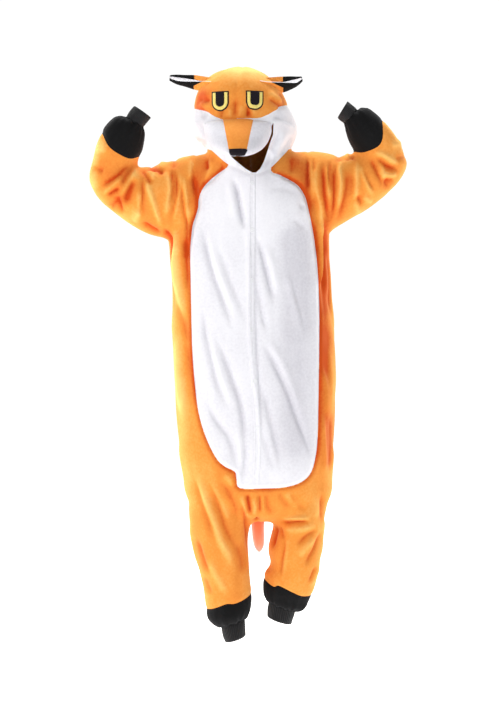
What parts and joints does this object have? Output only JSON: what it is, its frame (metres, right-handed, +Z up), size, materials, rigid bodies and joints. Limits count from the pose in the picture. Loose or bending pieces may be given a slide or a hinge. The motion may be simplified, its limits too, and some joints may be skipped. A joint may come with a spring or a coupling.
{
  "type": "fox onesie",
  "caption": "Hooded fleece fox costume worn with the arms raised: snapped front, fox face on the hood, gathered wrists and ankles with ribbed cuffs, stuffed tail.",
  "frame": {"origin": "between the shoulders, where the onesie hangs on its wearer", "axes": "+Z up along the body, -Y out of the front, +X to the side of the sleeve on the right as seen from the front"},
  "size_m": [0.895, 0.5502, 1.631],
  "materials": {
    "fleece_orange": "brushed polyester fleece with a short soft nap",
    "fleece_white": "brushed polyester fleece with a short soft nap",
    "fleece_black": "brushed polyester fleece with a short soft nap",
    "rib_black": "ribbed knit",
    "felt_black": "flat felt",
    "felt_yellow": "flat felt",
    "snap_white": "smooth moulded resin"
  },
  "bodies": {
    "root": {"sleeve_left": "fleece_orange", "sleeve_right": "fleece_orange", "front_left": "fleece_orange", "front_right": "fleece_orange", "back_left": "fleece_orange", "back_right": "fleece_orange", "hood_left": "fleece_orange", "hood_right": "fleece_orange", "muzzle_bridge": "fleece_orange", "ear_outer_left": "fleece_orange", "ear_outer_right": "fleece_orange", "tail_base": "fleece_orange", "belly_left": "fleece_white", "belly_right": "fleece_white", "cheek_left": "fleece_white", "cheek_right": "fleece_white", "placket": "fleece_white", "muzzle_side_left": "fleece_white", "muzzle_side_right": "fleece_white", "muzzle_underside": "fleece_white", "ear_inner_left": "fleece_white", "ear_inner_right": "fleece_white", "tail_tip": "fleece_white", "sleeve_band_left": "fleece_black", "sleeve_band_right": "fleece_black", "leg_band_left": "fleece_black", "leg_band_right": "fleece_black", "ear_tip_left": "fleece_black", "ear_tip_right": "fleece_black", "nose": "fleece_black", "cuff_left": "rib_black", "cuff_right": "rib_black", "ankle_cuff_left": "rib_black", "ankle_cuff_right": "rib_black", "eye_outline_left": "felt_black", "eye_pupil_left": "felt_black", "eye_outline_right": "felt_black", "eye_pupil_right": "felt_black", "eye_ring_left": "felt_yellow", "eye_ring_right": "felt_yellow", "snap_1": "snap_white", "snap_2": "snap_white", "snap_3": "snap_white", "snap_4": "snap_white", "snap_5": "snap_white", "snap_6": "snap_white"}
  },
  "joints": []
}
